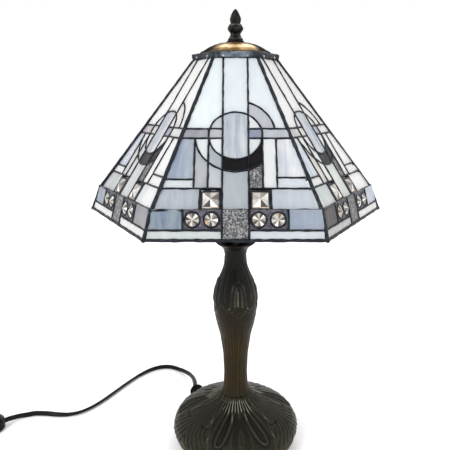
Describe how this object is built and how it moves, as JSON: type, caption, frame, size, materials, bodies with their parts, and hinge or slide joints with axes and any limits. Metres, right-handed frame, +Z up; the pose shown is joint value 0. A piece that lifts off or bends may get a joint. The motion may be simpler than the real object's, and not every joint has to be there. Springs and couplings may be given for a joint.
{
  "type": "stained glass table lamp",
  "caption": "Table lamp with a six-sided leaded glass shade on a harp, a cast bronze-finish baluster stem on a domed foot, and a corded plug with inline switch.",
  "frame": {"origin": "centre of the felt pad's underside, on the surface that the lamp stands on", "axes": "+Z up along the stem, +X towards a corner of the hexagonal shade, -Y towards the flat side of the shade that faces the viewer"},
  "size_m": [0.5863, 0.3212, 0.487],
  "materials": {
    "bronze": "dark antique bronze patina over a metal casting, ridges rubbed lighter",
    "ballast_iron": "rough cast",
    "plated_steel": "zinc plated",
    "felt": "dark green pressed felt",
    "grip_rubber": "matt black moulded rubber",
    "cord_jacket": "smooth black flexible sheath, slightly glossy",
    "lacquered_brass": "lacquered, satin",
    "holder_ceramic": "unglazed white",
    "bulb_glass": "pearl frosted",
    "stained_glass": "opalescent sheet glass, wispy, pale blue-white and grey",
    "dark_solder": "black patinated solder over copper foil, semi-gloss",
    "black_plastic": "moulded black thermoplastic"
  },
  "bodies": {
    "lamp": {"base_foot": "bronze", "stem": "bronze", "ballast": "ballast_iron", "bottom_plate": "plated_steel", "base_washer": "plated_steel", "base_nut": "plated_steel", "threaded_tube": "plated_steel", "harp_saddle": "plated_steel", "saddle_nut": "plated_steel", "rocker_pin": "plated_steel", "switch_screw_1": "plated_steel", "switch_screw_2": "plated_steel", "plug_pin_1": "plated_steel", "plug_pin_2": "plated_steel", "felt_pad": "felt", "cord_grip": "grip_rubber", "plug_sleeve": "grip_rubber", "inner_wire": "cord_jacket", "cord_lamp_side": "cord_jacket", "cord_plug_side": "cord_jacket", "cord_tail": "cord_jacket", "cord_coil": "cord_jacket", "holder_cap": "lacquered_brass", "holder_shell": "lacquered_brass", "holder_contact": "lacquered_brass", "harp": "lacquered_brass", "harp_stud": "lacquered_brass", "switch_contact_1": "lacquered_brass", "switch_contact_2": "lacquered_brass", "holder_insert": "holder_ceramic", "switch_bottom": "black_plastic", "switch_top": "black_plastic", "plug_body": "black_plastic", "cord_tie": "black_plastic"},
    "shade": {"shade_collar": "dark_solder", "shade_spider": "plated_steel", "cap_dome": "bronze", "lead_frame": "dark_solder", "upper_panel_1": "stained_glass", "upper_panel_2": "stained_glass", "upper_panel_3": "stained_glass", "upper_panel_4": "stained_glass", "upper_panel_5": "stained_glass", "upper_panel_6": "stained_glass", "skirt_panel_1": "stained_glass", "skirt_panel_2": "stained_glass", "skirt_panel_3": "stained_glass", "skirt_panel_4": "stained_glass", "skirt_panel_5": "stained_glass", "skirt_panel_6": "stained_glass"},
    "finial_knob": {"finial": "bronze"},
    "bulb": {"bulb_glass": "bulb_glass", "bulb_mount": "bulb_glass", "bulb_cap": "lacquered_brass", "bulb_contact": "lacquered_brass"},
    "sleeve_left": {"left_sleeve": "lacquered_brass"},
    "sleeve_right": {"right_sleeve": "lacquered_brass"},
    "rocker": {"switch_rocker": "black_plastic"}
  },
  "joints": [
    {"name": "shade_turn", "type": "hinge", "parent": "lamp", "child": "shade", "pos_m": [0, 0, 0.44], "axis": [0, 0, 1], "continuous": true},
    {"name": "finial_turn", "type": "hinge", "parent": "lamp", "child": "finial_knob", "pos_m": [0, 0, 0.456], "axis": [0, 0, 1], "continuous": true},
    {"name": "bulb_turn", "type": "hinge", "parent": "lamp", "child": "bulb", "pos_m": [0, 0, 0.2783], "axis": [0, 0, 1], "continuous": true},
    {"name": "rocker_tilt", "type": "hinge", "parent": "lamp", "child": "rocker", "pos_m": [-0.31405, 0.0048, 0.0125], "axis": [-0.6361, 0.7716, 0], "range_deg": [0, 16]},
    {"name": "left_sleeve_slide", "type": "slide", "parent": "lamp", "child": "sleeve_left", "axis": [0, 0, 1], "range_m": [0, 0.012]},
    {"name": "right_sleeve_slide", "type": "slide", "parent": "lamp", "child": "sleeve_right", "axis": [0, 0, 1], "range_m": [0, 0.012]}
  ]
}
